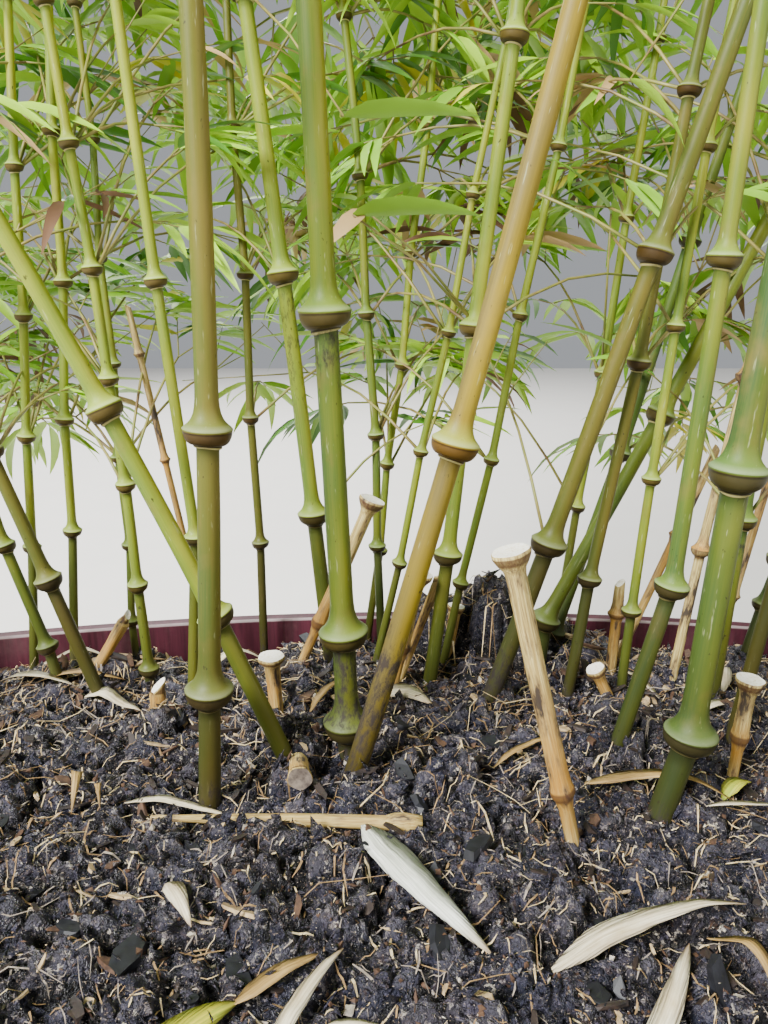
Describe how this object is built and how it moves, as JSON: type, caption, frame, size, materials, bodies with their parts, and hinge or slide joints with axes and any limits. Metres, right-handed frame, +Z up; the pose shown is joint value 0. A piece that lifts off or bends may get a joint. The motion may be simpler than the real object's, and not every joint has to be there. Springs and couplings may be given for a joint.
{
  "type": "potted bamboo",
  "caption": "Clump of bamboo canes with strongly swollen nodes and narrow leaves, growing in a long plastic trough of dark compost.",
  "frame": {"origin": "middle of the pot's flat underside", "axes": "+Z up, +X along the trough towards its right end in the picture, +Y towards its back"},
  "size_m": [2.046, 1.3138, 2.7048],
  "materials": {
    "pot_plastic": "satin",
    "compost": "matte",
    "cane_green": "satin",
    "cane_olive": "satin",
    "cane_golden": "satin",
    "cane_dry": "matte",
    "leaves": "matte"
  },
  "bodies": {
    "root": {"pot": "pot_plastic", "soil": "compost", "cane_front_left": "cane_olive", "cane_front_middle": "cane_green", "cane_golden": "cane_golden", "cane_front_right": "cane_green", "cane_leaning_left": "cane_green", "cane_left_low": "cane_olive", "cane_left_edge": "cane_green", "cane_right_upright": "cane_green", "cane_right_thick": "cane_olive", "cane_right_sloping": "cane_green", "cane_right_dark": "cane_green", "cane_right_tan": "cane_olive", "cane_right_thin": "cane_green", "cane_right_light": "cane_green", "cane_right_olive": "cane_olive", "cane_right_edge": "cane_green", "cane_middle": "cane_green", "cane_middle_thin_1": "cane_green", "cane_middle_thin_2": "cane_green", "cane_middle_thin_3": "cane_green", "cane_middle_thin_4": "cane_green", "cane_back_left": "cane_green", "cane_left_far": "cane_green", "cane_left_thin_1": "cane_green", "cane_left_thin_2": "cane_green", "cane_left_thin_3": "cane_green", "cane_left_light": "cane_green", "cane_left_brown": "cane_olive", "cane_back_right": "cane_green", "cane_dry": "cane_dry", "cane_left_end_1": "cane_green", "cane_left_end_2": "cane_green", "cane_left_end_3": "cane_green", "cane_right_end_1": "cane_green", "cane_right_end_2": "cane_green", "cane_right_end_3": "cane_green", "cane_right_end_4": "cane_green", "stub_front": "cane_dry", "stub_long": "cane_dry", "stub_middle": "cane_dry", "stub_right": "cane_dry", "foliage_top_left": "leaves", "foliage_top_back_left": "leaves", "foliage_top_front_left": "leaves", "foliage_top_middle": "leaves", "foliage_top_front_right": "leaves", "foliage_top_back_right": "leaves", "foliage_top_right": "leaves", "foliage_left": "leaves", "foliage_front_left": "leaves", "foliage_front_middle": "leaves", "foliage_front_right": "leaves", "foliage_back_left": "leaves", "foliage_back_middle": "leaves", "foliage_right": "leaves", "foliage_low_left": "leaves", "foliage_low_middle": "leaves", "foliage_low_right": "leaves"}
  },
  "joints": []
}
